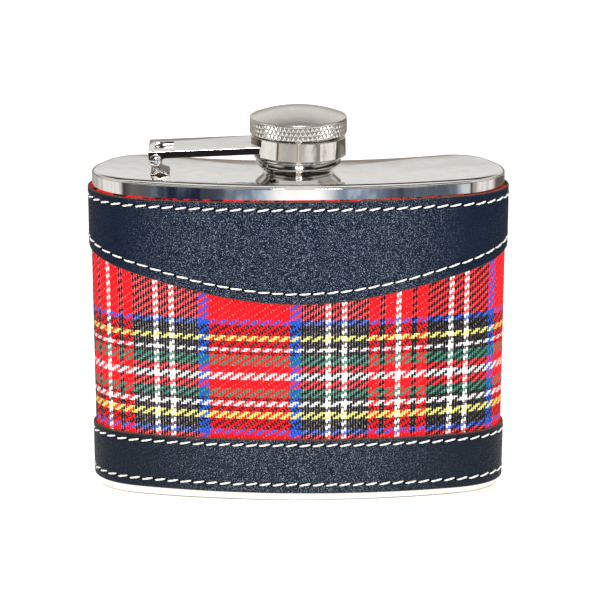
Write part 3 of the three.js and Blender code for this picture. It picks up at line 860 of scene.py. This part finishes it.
TOP_EDGE = along([(-60, 69.75), (-48, 69.68), (-33, 69.46), (-22, 69.66), (0, 70.0), (22, 70.1),
                  (45, 70.15), (60, 70.0)])
TOP_ROW = along([(-60, 67.9), (-40, 67.8), (0, 68.1), (40, 68.05), (60, 68.0)])
FLAP_EDGE = FLAP_ROW - 2.45
LOWER_TOP = along([(-60, 15.5), (-40, 15.6), (0, 15.7), (40, 15.6), (60, 15.5)])
LOWER_ROW = along([(-60, 14.0), (-35, 14.15), (0, 14.35), (35, 14.2), (60, 14.0)])
BOTTOM_ROW = along([(-60, 5.4), (-40, 5.35), (0, 5.26), (40, 5.1), (60, 5.0)])
BOTTOM_EDGE = along([(-60, 3.5), (-40, 3.4), (0, 3.2), (40, 3.0), (60, 2.9)])
hole_s = np.abs((SKIN_S / PITCH + 0.5) % 1 - 0.5) * PITCH
CLOTH_PEEK = along([(-60, 0.2), (-45, 0.26), (-20, 0.2), (6, 0.12), (20, 0.03), (46, -0.1)])
CLOTH_EDGE = TOP_EDGE + CLOTH_PEEK
print("stitch pitch", round(PITCH, 3), "mm")

# %% [markdown]
# ## Tartan cloth
# The cloth is a 2/2 twill in coarse yarn: each warp passes over two wefts and under two, one step further
# up at every warp, which draws the slanting lines. The shader weaves it the same way. It numbers warps
# and wefts, decides which is on top, and only then asks that thread's own colour from the sett, so a
# stripe of white warp crossing red weft comes out as separate slanting flecks, as it does on a loom.

# %% Tartan shader
WARP, WEFT = 0.6055, 0.405
RED, DARK_RED = (0.93, 0.008, 0.014), (0.42, 0.004, 0.01)
BLACK, WHITE = (0.006, 0.006, 0.008), (0.92, 0.90, 0.88)
BLUE, GREEN, YELLOW = (0.015, 0.09, 0.54), (0.015, 0.2, 0.125), (0.92, 0.86, 0.2)
WARP_PIVOT, WARP_HALF = 22.4, 33.3
WEFT_PIVOT, WEFT_HALF = 29.9, 48.0
WARP_SETT = ((0.67, WHITE), (3.0, RED), (3.95, BLACK), (6.68, RED), (11.3, BLACK), (12.9, WHITE),
             (15.1, BLACK), (16.5, WHITE), (21.8, BLACK), (24.4, BLUE), (WARP_HALF, RED))
WEFT_SETT = ((0.6, WHITE), (2.5, RED), (4.7, GREEN), (5.5, BLACK), (6.75, WHITE), (7.9, BLACK),
             (9.5, YELLOW), (11.9, BLACK), (13.0, BLUE), (WEFT_HALF, RED))


def sett_colour(finish, distance, sett, half):
    """A thread's colour from its distance to the middle of the repeat."""
    stops = []
    start = 0.0
    for stop, colour in sett:
        stops.append((start / half, colour))
        start = stop
    return finish.node("ValToRGB", {"steps": stops}, {0: distance / half})


cloth = Finish("woven_tartan")
s, z, below = cloth.attribute("strip")
place = cloth.place()
drift = cloth.noise(place, 0.12, 2.0)
s = s + 0.5 * (drift - 0.5)
across, up = s / WARP, z / WEFT
column, row = across.floor(), up.floor()
turn = (column - row).wrap(4)
warp_up = (turn > 0.5) * (turn < 2.5)
off_pivot = ((column + 0.5) * WARP - WARP_PIVOT + WARP_HALF).wrap(2 * WARP_HALF) - WARP_HALF
warp_colour = sett_colour(cloth, off_pivot.size(), WARP_SETT, WARP_HALF)
weft_colour = sett_colour(cloth, ((row + 0.5) * WEFT - WEFT_PIVOT).size(), WEFT_SETT, WEFT_HALF)
in_warp = ((across - column) - 0.5).size() * 2
in_weft = ((up - row) - 0.5).size() * 2
warp_run = ((column - up).wrap(4) / 2 - 0.5).size() * 2
weft_run = ((across - row + 1).wrap(4) / 2 - 0.5).size() * 2
fuzz = cloth.noise(place, 3.4, 3.0, 0.7)
warp_width = 0.84 + 0.3 * (fuzz - 0.5)
peeps = (1 - warp_up) * (in_warp < 0.3)
shows_warp = warp_up * (in_warp < warp_width) + peeps * 0.7
warp_crown = (1 - in_warp ** 2) * (1 - 0.75 * warp_run ** 2)
weft_crown = (1 - 0.6 * in_weft ** 2) * (1 - 0.6 * weft_run ** 2)
crown = shows_warp * warp_crown + (1 - shows_warp) * weft_crown * 0.85
thread = cloth.mix(shows_warp, weft_colour, warp_colour)
on_fold = below.ramp(0.7, 0.5)
fold_colour = cloth.mix(cloth.noise(place, 0.5).ramp(0.42, 0.5), (0.05, 0.003, 0.006), RED)
thread = cloth.mix(on_fold, thread, fold_colour)
shade = crown.ramp(0.0, 0.5, 0.5, 1.0)
shaded = cloth.mix(shade, (0.0, 0.0, 0.0), thread)
# Painted highlight: pinkish specks on the middle of the weft floats stand for the cloth's sheen.
glint_noise = cloth.noise(place, 5.5, 2.0, 0.6).ramp(0.5, 0.66)
crown_glint = glint_noise * (weft_run < 0.3) * (1 - warp_up) * (1 - on_fold)
lit = cloth.mix(crown_glint * 0.55, shaded, (0.75, 0.5, 0.5))
warp_red = cloth.node("SeparateColor", {}, {0: warp_colour})
warp_blue = cloth.node("SeparateColor", {}, {0: warp_colour}, output=2)
dark_warp = (warp_red < 0.05) * (warp_blue < 0.1)
# Painted sheen: grey flecks along the edges of dark warps, stronger left of the front's middle.
dark_warp_sheen = dark_warp * (in_warp > 0.74) * cloth.noise(place, 4.5, 2.0).ramp(0.42, 0.58) * (1 - on_fold)
lit = cloth.mix(dark_warp_sheen * s.ramp(28, 8, 0.15, 0.5), lit, (0.62, 0.6, 0.62))
cloth.set(
    Base_Color=lit,
    Roughness=crown.ramp(0.0, 1.0, 0.95, 0.85),
    Specular_IOR_Level=0.12,
    Normal=cloth.bump(crown + 0.25 * fuzz, 0.14),
)

# %% [markdown]
# The cloth itself is one thin sheet, cut as long as the way round and a little shorter than the body, and
# stretched smooth over the steel. Its top edge shows as a red line above the leather, so that edge is
# rounded like a fold.

# %% Tartan cloth
CLOTH_IN, CLOTH_OUT = 0.05, 0.4
CLOTH_LOW = 4.3
edge = 0.12
span = CLOTH_EDGE - CLOTH_LOW
cloth_outs, cloth_heights = [], []
for out, share, extra in (
    [(CLOTH_OUT - edge, 0, 0), (CLOTH_OUT, 0, edge)]
    + [(CLOTH_OUT, share, 0) for share in np.linspace(0.02, 0.98, 44)]
    + [(CLOTH_OUT, 1, -0.5), (CLOTH_OUT, 1, -edge), (CLOTH_OUT - 0.3 * edge, 1, -0.3 * edge),
       (CLOTH_OUT - edge, 1, 0), (CLOTH_IN, 1, 0), (CLOTH_IN, 0, 0)]
):
    cloth_outs.append(np.full(len(OPEN), out))
    cloth_heights.append(CLOTH_LOW + share * span + extra)
below_edge = [CLOTH_EDGE - heights for heights in cloth_heights]
cloth_mesh = skin("tartan", cloth_outs, cloth_heights, cloth_heights, below_edge)
cloth_piece = finish_piece(cloth_mesh, "tartan_cloth", "flask", cloth.material, "tartan_cloth",
                           ["tartan_wrap"], sharp=60)
CLOTH_FLAT = (ROUND * MM, float(span.mean()) * MM)
print("cloth cut", [round(v / MM, 1) for v in CLOTH_FLAT])

# %% [markdown]
# ## Leather bands
# Two bands of thin navy leather are glued over the cloth and sewn through. The needle pulls the leather
# down along every row, deepest at each hole, and the cut edges are slightly rounded.

# %% Leather shape
LEATHER_IN, LEATHER_OUT = 0.45, 0.95


def band(name, low, high, stitch_rows):
    """A leather band between two edges, with rounded edges and a stitched-down line at each row."""
    radius = 0.24
    round_steps = np.radians(np.linspace(0, 90, 5))
    offsets = list(radius * (1 - np.cos(round_steps))) + list(np.arange(0.4, 3.4, 0.16))
    drops = list(radius * (1 - np.sin(round_steps))) + [0.0] * (len(offsets) - len(round_steps))
    levels = [(low + o, drop) for o, drop in zip(offsets, drops)]
    for k in np.linspace(0, 1, 26)[1:-1]:
        levels.append((low + 3.4 + (high - low - 6.8) * k, 0.0))
    levels += [(high - o, drop) for o, drop in zip(offsets[::-1], drops[::-1])]
    outs, heights, gaps = [], [], []
    for z_row, drop in levels:
        gap = np.full(len(OPEN), 9.0)
        dip = 0.0
        for stitch_row in stitch_rows:
            away = z_row - stitch_row
            gap = np.minimum(gap, np.hypot(away, hole_s))
            pull = 0.10 + 0.12 * np.exp(-((hole_s / 0.45) ** 2))
            dip = dip + pull * np.exp(-((away / 0.5) ** 2))
        soft = 0.03 * np.sin(SKIN_S * 0.35 + z_row * 0.21) * np.sin(SKIN_S * 0.13 - z_row * 0.4)
        outs.append(LEATHER_OUT - drop - dip + soft)
        heights.append(z_row)
        gaps.append(gap)
    for z_row in (high, low):
        outs.append(np.full(len(OPEN), LEATHER_IN))
        heights.append(z_row)
        gaps.append(np.full(len(OPEN), 9.0))
    to_edge = [np.minimum(z_row - low, high - z_row) for z_row in heights]
    return skin(name, outs, heights, to_edge, gaps)


# %% [markdown]
# Leather is dark because it is dyed through, and it shines only where a light strikes its grain. The
# grain is a net of small pebbles with creases between; the creases are rougher, and painted darker as
# shade. In the middle of the front, pale specks are painted into the colour as the grain's highlights
# from the key light; they fade towards the ends.

# %% Leather shader
CUT_LEATHER = (0.12, 0.06, 0.04)


def leather(name, colour, worn, sparkle_fade):
    finish = Finish(name)
    round_it, edge, hole = finish.attribute("strip")
    place = finish.place()
    warp = finish.noise(place, 0.8, 2.0)
    pebble = finish.node("TexVoronoi", {"feature": "SMOOTH_F1"},
                         {"Vector": place, "Scale": 2.6, "Smoothness": 0.3, "Randomness": 1.0})
    crease = pebble.ramp(0.25, 0.75)
    pores = finish.noise(place, 4.2, 3.0, 0.6)
    cloud = finish.noise(place, 0.09, 3.0, 0.55)
    tone = finish.mix(cloud.ramp(0.3, 0.7), colour, worn)
    # Painted shade: the creases between pebbles are darkened in the colour.
    tone = finish.mix(crease * 0.45, tone, tuple(0.45 * c for c in colour))
    # Painted highlight: pale specks in the middle of the front stand for the key light's glints on the
    # grain.
    painted_sparkle = finish.noise(place, 4.8, 1.0, 0.5).ramp(0.56, 0.68) * (round_it + 1).size().ramp(*sparkle_fade)
    tone = finish.mix(painted_sparkle * 0.85, tone, (0.27, 0.31, 0.39))
    tone = finish.mix(edge.ramp(0.3, 0.1), tone, CUT_LEATHER)
    # Painted shade: the leather goes near-black at each needle hole.
    hole_shade = hole.ramp(0.16, 0.5)
    tone = finish.mix(hole_shade, (0.001, 0.001, 0.002), tone)
    relief = (1 - crease) + 0.5 * pores + 0.35 * warp
    finish.set(
        Base_Color=tone,
        Roughness=0.3 + 0.2 * crease + 0.12 * pores,
        Specular_IOR_Level=0.09,
        Normal=finish.bump(relief, 0.28),
    )
    return finish.material


UPPER_LEATHER = leather("navy_leather", (0.0045, 0.0125, 0.031), (0.0065, 0.015, 0.035), (41, 22))
LOWER_LEATHER = leather("navy_leather_lower", (0.0095, 0.0165, 0.029), (0.012, 0.0195, 0.032), (42, 8))

# %% Leather bands
upper_mesh = band("upper", FLAP_EDGE, TOP_EDGE, (TOP_ROW, FLAP_ROW))
finish_piece(upper_mesh, "upper_leather", "flask", UPPER_LEATHER, "navy_leather", ["upper_band"])
lower_mesh = band("lower", BOTTOM_EDGE, LOWER_TOP, (LOWER_ROW, BOTTOM_ROW))
finish_piece(lower_mesh, "lower_leather", "flask", LOWER_LEATHER, "navy_leather", ["lower_band"])

# %% [markdown]
# ## Stitches
# A thick white thread, two plies twisted, lies on the leather between needle holes about 3 mm apart. The
# machine lays each stitch at a slight slant and pulls both ends down into their holes, so every stitch is
# its own short pointed length.

# %% Stitches
STITCH_HALF = 1.38
THREAD_HALF_WIDTH, THREAD_HALF_HEIGHT = 0.205, 0.17
RING = 10
ALONG = 15

yarn = Finish("white_thread")
yarn_fuzz = yarn.noise(yarn.place(), 7.0, 3.0, 0.7)
yarn.set(
    Base_Color=yarn.mix(yarn_fuzz.ramp(0.3, 0.7), (0.62, 0.6, 0.55), (0.86, 0.85, 0.8)),
    Roughness=yarn_fuzz.ramp(0.2, 0.8, 0.6, 0.8),
    Sheen_Weight=0.1,
    Normal=yarn.bump(yarn_fuzz, 0.05),
)


def stitch(s_middle, z_middle, slope, chance):
    """Points of one stitch, ring by ring, from its left hole to its right."""
    rings = []
    for u in np.linspace(-1, 1, ALONG):
        s = s_middle + u * STITCH_HALF
        z = z_middle + u * STITCH_HALF * slope
        rise = LEATHER_OUT - 0.08 + 0.16 * (1 - abs(u) ** 6) - 0.28 * abs(u) ** 6
        middle = on_skin(s, z, rise)
        outward = on_skin(s, z, rise + 0.5) - middle
        outward /= np.linalg.norm(outward)
        ahead = on_skin(s + 0.1, z + 0.1 * slope, rise) - middle
        ahead /= np.linalg.norm(ahead)
        side = np.cross(outward, ahead)
        taper = max(0.12, (1 - abs(u) ** 3.4) ** 0.55)
        for k in range(RING):
            angle = 2 * math.pi * k / RING
            ply = 1 + 0.16 * math.cos(2 * (angle - 4.2 * u - chance))
            rings.append(middle + taper * ply * (
                math.cos(angle) * THREAD_HALF_WIDTH * side + math.sin(angle) * THREAD_HALF_HEIGHT * outward
            ))
    return rings


def stitched(name, row, slant, node):
    """All stitches of one row as one piece."""
    dice = random.Random(name)
    points, faces = [], []
    for k in range(round(ROUND / PITCH) - 1):
        s_middle = (k + 1) * PITCH - ROUND / 2 + (ROUND / 2) % PITCH - PITCH / 2
        z_middle = float(np.interp(s_middle, SKIN_S, row)) + dice.uniform(-0.04, 0.04)
        first = len(points)
        behind, ahead = np.interp((s_middle - 1, s_middle + 1), SKIN_S, row)
        slope = (ahead - behind) / 2 + slant + dice.uniform(-0.02, 0.02)
        points += stitch(s_middle + dice.uniform(-0.04, 0.04), z_middle, slope, dice.uniform(0, 3))
        faces += [tuple(first + i for i in face) for face in grid_faces(ALONG, RING, False, True)]
        faces.append(tuple(first + i for i in range(RING)))
        faces.append(tuple(len(points) - 1 - i for i in range(RING)))
    mesh = mesh_from(in_place(points), faces, name)
    return finish_piece(mesh, name, "flask", yarn.material, "white_thread", [node], sharp=70)


stitched("stitches_top_edge", TOP_ROW, 0.19, "thread_top_edge")
stitched("stitches_flap", FLAP_ROW, 0.08, "thread_flap")
stitched("stitches_lower_top", LOWER_ROW, 0.19, "thread_lower_top")
stitched("stitches_lower_edge", BOTTOM_ROW, 0.19, "thread_lower_edge")

# %% [markdown]
# ## Floor and room
# A big pale floor catches the soft shadow. Polished steel shows the room more than itself, so the room is
# painted by direction: bright above and at the sides, dark navy in front and low down, light behind. The
# floor is hidden from reflections but for a small white sheet round the base.

# %% Floor
def disc(name, radius, z):
    mesh = bpy.data.meshes.new(name)
    work = bmesh.new()
    bmesh.ops.create_circle(work, cap_ends=True, segments=96, radius=radius)
    work.to_mesh(mesh)
    work.free()
    holder = bpy.data.objects.new(name, mesh)
    holder.location.z = z
    bpy.context.collection.objects.link(holder)
    return holder


paper = Finish("pale_floor")
paper_tone = paper.noise(paper.place(), 0.002, 2.0)
paper.set(
    Base_Color=paper.mix(paper_tone, (0.88, 0.88, 0.88), (0.92, 0.92, 0.92)),
    Roughness=0.9,
    Emission_Color=(1.0, 1.0, 1.0),
    Emission_Strength=0.55,
)
floor = disc("floor", 4.0, -0.0002)
floor.data.materials.append(paper.material)
floor.visible_glossy = False
cream = Finish("cream_sheet")
cream_tone = cream.noise(cream.place(), 0.05, 2.0)
cream.set(
    Base_Color=cream.mix(cream_tone, (0.5, 0.49, 0.46), (0.55, 0.54, 0.5)),
    Roughness=0.9,
    Emission_Color=cream.mix(cream_tone, (0.7, 0.67, 0.61), (1.0, 0.965, 0.9)),
    Emission_Strength=1.0,
)
sheet = disc("white_sheet", 0.16, -0.0001)
sheet.data.materials.append(cream.material)
sheet.visible_camera = False
sheet.visible_diffuse = False
sheet.visible_shadow = False


# %% Strip light
STRIP_LEFT, STRIP_RIGHT, STRIP_LOW, STRIP_HIGH = -0.042, 0.046, 0.015, 0.125
glow = Finish("strip_light")
glow_place = glow.place()
glow_x = glow.node("SeparateXYZ", {}, {0: glow_place})
glow_z = glow.node("SeparateXYZ", {}, {0: glow_place}, output=2)
glow_patch = glow.noise(glow_place, 0.16, 3.0, 0.6).ramp(0.4, 0.62)
fall = glow_x.ramp(-38, -16) * glow_x.ramp(46, 26)
core = glow_x.ramp(-17, -5) * glow_x.ramp(19, 7)
near_band = glow_z.ramp(66, 62)
glow_colour = glow.mix(fall, (0.02, 0.03, 0.05), (0.17, 0.23, 0.31))
glow_colour = glow.mix(fall * glow_patch * 0.55, glow_colour, (0.62, 0.72, 0.82))
glow_colour = glow.mix(core, glow_colour, (1.0, 1.0, 1.0))
glow_colour = glow.mix(near_band, (0.6, 0.56, 0.5), glow_colour)
glow.set(
    Base_Color=(0.0, 0.0, 0.0),
    Emission_Color=glow_colour,
    Emission_Strength=1.3,
    Alpha=near_band + (1 - near_band) * glow_x.ramp(-9, -4) * glow_x.ramp(11, 6),
)
strip_mesh = bpy.data.meshes.new("strip_light")
strip_y = NECK_Y - 0.06
strip_mesh.from_pydata([(x, strip_y, z) for z in (STRIP_LOW, STRIP_HIGH) for x in (STRIP_LEFT, STRIP_RIGHT)],
                       [], [(0, 1, 3, 2)])
strip_mesh.materials.append(glow.material)
strip_light = bpy.data.objects.new("strip_light", strip_mesh)
bpy.context.collection.objects.link(strip_light)
strip_light.visible_camera = False
strip_light.visible_diffuse = False
strip_light.visible_shadow = False


# %% Room
class Sky(Finish):
    """The world's shader, written the same way as a material."""

    def __init__(self, name):
        world = bpy.data.worlds.new(name)
        world.use_nodes = True
        bpy.context.scene.world = world
        self.tree = world.node_tree
        self.surface = self.tree.nodes["Background"]


sky = Sky("room")
direction = sky.node("TexCoord", output=0)
split = sky.node("SeparateXYZ", {}, {0: direction})
sx, sy, sz = [Signal(sky, socket) for socket in split.socket.node.outputs]
azimuth = sky.node("Math", {"operation": "ARCTAN2"}, {0: sx, 1: 0 - sy}) * (180 / math.pi)
elevation = sky.node("Math", {"operation": "ARCSINE"}, {0: sz}) * (180 / math.pi)
GREY, PALE = (0.5, 0.49, 0.47), (1.0, 0.97, 0.92)
TAUPE, NAVY, DUSK = (0.15, 0.125, 0.105), (0.012, 0.02, 0.045), (0.05, 0.045, 0.05)
CREAM, BLACK = (0.68, 0.62, 0.54), (0.018, 0.016, 0.018)
LOW_ROOM = ((-180, GREY), (-145, GREY), (-100, PALE), (-62, PALE), (-54, DUSK), (-44, TAUPE), (-33, CREAM),
            (-24, GREY), (-15, CREAM), (-7, TAUPE), (4, GREY), (14, CREAM), (20, GREY), (27, PALE),
            (33, TAUPE), (40, GREY), (50, DUSK), (62, PALE), (98, PALE), (112, TAUPE), (150, TAUPE),
            (175, GREY))
low_colour = sky.node("ValToRGB", {"stops": [((a + 180) / 360, c) for a, c in LOW_ROOM]},
                      {0: (azimuth + 180) / 360})
blotch = sky.noise(direction, 14.0, 4.0, 0.65).ramp(0.48, 0.62)
in_front = azimuth.size().ramp(52, 30)
straight = elevation.ramp(-10.4, -11.4) * in_front
low_colour = sky.mix(straight, low_colour, sky.mix(azimuth.ramp(6, 14), NAVY, (0.1, 0.125, 0.16)))
patches = blotch * straight * azimuth.ramp(-5, 8, 0.35, 0.85)
low_colour = sky.mix(patches, low_colour, (0.35, 0.46, 0.6))
low_colour = sky.mix(azimuth.size().ramp(14, 9), low_colour, BLACK)
knot = (azimuth - 43).size().ramp(6, 4) * elevation.ramp(-10.4, -11.4)
low_colour = sky.mix(knot * 0.9, low_colour, (0.8, 0.84, 0.86))
slats = sky.noise(sky.node("CombineXYZ", {}, {0: azimuth * 0.12, 1: elevation * 0.01}), 3.0, 3.0, 0.7)
low_colour = sky.mix(slats.ramp(0.5, 0.62) * azimuth.size().ramp(50, 60) * 0.6, low_colour, TAUPE)
behind = sky.mix(elevation.ramp(22, 66), (0.84, 0.84, 0.82), (0.5, 0.46, 0.41))
behind = sky.mix(elevation.ramp(13, 9.5), behind, (0.34, 0.29, 0.25))
forward = 0 - sy
high_colour = sky.mix(forward.ramp(-0.75, -0.45), behind, (0.02, 0.017, 0.016))
overhead = elevation.ramp(38, 46) * elevation.ramp(84, 76) * forward.ramp(0.05, 0.15)
at_side = sx.size().ramp(0.55, 0.8) * elevation.ramp(8, 20)
high_colour = sky.mix(at_side, high_colour, (0.7, 0.67, 0.62))
high_colour = sky.mix(overhead, high_colour, (1.0, 1.0, 1.0))
colour = sky.mix(elevation.ramp(-6, 3), low_colour, high_colour)
sky.set(Color=colour, Strength=1.0)

# %% [markdown]
# ## Lights
# One soft key beside the lens lights the front and wakes the leather's grain; a broad softbox overhead
# and one at each side fill the rest.

# %% Lights
def softbox(name, azimuth_degrees, elevation_degrees, away, width, height, power, mirrored=False):
    data = bpy.data.lights.new(name, "AREA")
    data.shape = "RECTANGLE"
    data.size = width
    data.size_y = height
    data.energy = power
    holder = bpy.data.objects.new(name, data)
    a, e = math.radians(azimuth_degrees), math.radians(elevation_degrees)
    out = Vector((math.sin(a) * math.cos(e), -math.cos(a) * math.cos(e), math.sin(e)))
    holder.location = TARGET + out * away
    holder.rotation_mode = "QUATERNION"
    holder.rotation_quaternion = (-out).to_track_quat("-Z", "Y")
    bpy.context.collection.objects.link(holder)
    holder.visible_camera = False
    holder.visible_glossy = mirrored
    return holder


softbox("key", 2, 20, 1.1, 0.3, 0.2, 7, mirrored=True)
softbox("top", 0, 70, 0.9, 0.5, 0.4, 3)
softbox("left", -70, 25, 1.0, 0.4, 0.6, 3)
softbox("right", 70, 25, 1.0, 0.4, 0.6, 3)
bpy.context.scene.view_settings.view_transform = "Standard"
